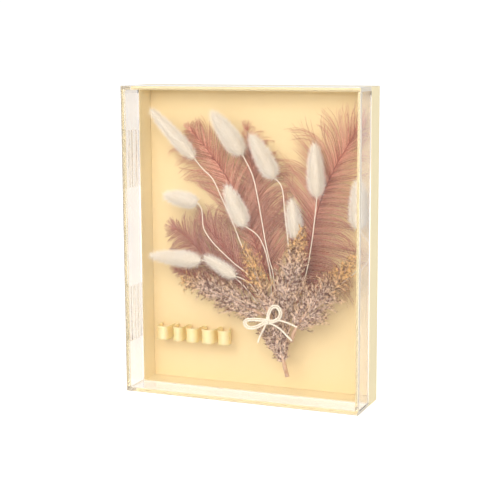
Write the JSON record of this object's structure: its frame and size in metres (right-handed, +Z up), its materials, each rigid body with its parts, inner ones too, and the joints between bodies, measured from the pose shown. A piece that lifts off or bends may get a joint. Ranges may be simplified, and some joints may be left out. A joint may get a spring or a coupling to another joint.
{
  "type": "pressed flower frame",
  "caption": "Standing shadow box frame with a clear cover, cream tray and backing, holding dyed feathers, bunny tail grass, reed plumes, a twine bow and looped ribbon.",
  "frame": {"origin": "middle of the bottom face, on the surface that the box stands on", "axes": "+Z up, front pane facing -Y, +X to the viewer's right"},
  "size_m": [0.2, 0.0486, 0.25],
  "materials": {
    "clear_acrylic": "clear polished acrylic sheet",
    "cream_tray": "satin cream",
    "cream_paper": "matt cream paper on board",
    "feather_rose": "dyed feather, dusty rose",
    "feather_mauve": "dyed feather, mauve brown",
    "bunny_tail": "dried soft grass head",
    "reed_mauve": "dried reed spikelets, mauve grey",
    "reed_gold": "dried reed spikelets, golden brown",
    "cotton_twine": "twisted cotton twine",
    "satin_ribbon": "woven satin"
  },
  "bodies": {
    "root": {"acrylic_cover": "clear_acrylic", "tray_frame": "cream_tray", "backing_board": "cream_paper", "feather_centre": "feather_rose", "feather_left": "feather_rose", "feather_right": "feather_rose", "feather_left_middle": "feather_rose", "feather_centre_left": "feather_mauve", "feather_low_left": "feather_mauve", "bunny_tail_01": "bunny_tail", "bunny_tail_02": "bunny_tail", "bunny_tail_03": "bunny_tail", "bunny_tail_04": "bunny_tail", "bunny_tail_05": "bunny_tail", "bunny_tail_06": "bunny_tail", "bunny_tail_07": "bunny_tail", "bunny_tail_08": "bunny_tail", "bunny_tail_09": "bunny_tail", "bunny_tail_10": "bunny_tail", "reed_plume_left_fan": "reed_mauve", "reed_plume_centre_left": "reed_gold", "reed_plume_centre": "reed_mauve", "reed_plume_right": "reed_gold", "reed_plume_lower": "reed_mauve", "twine_bow": "cotton_twine", "ribbon_loops": "satin_ribbon"}
  },
  "joints": []
}
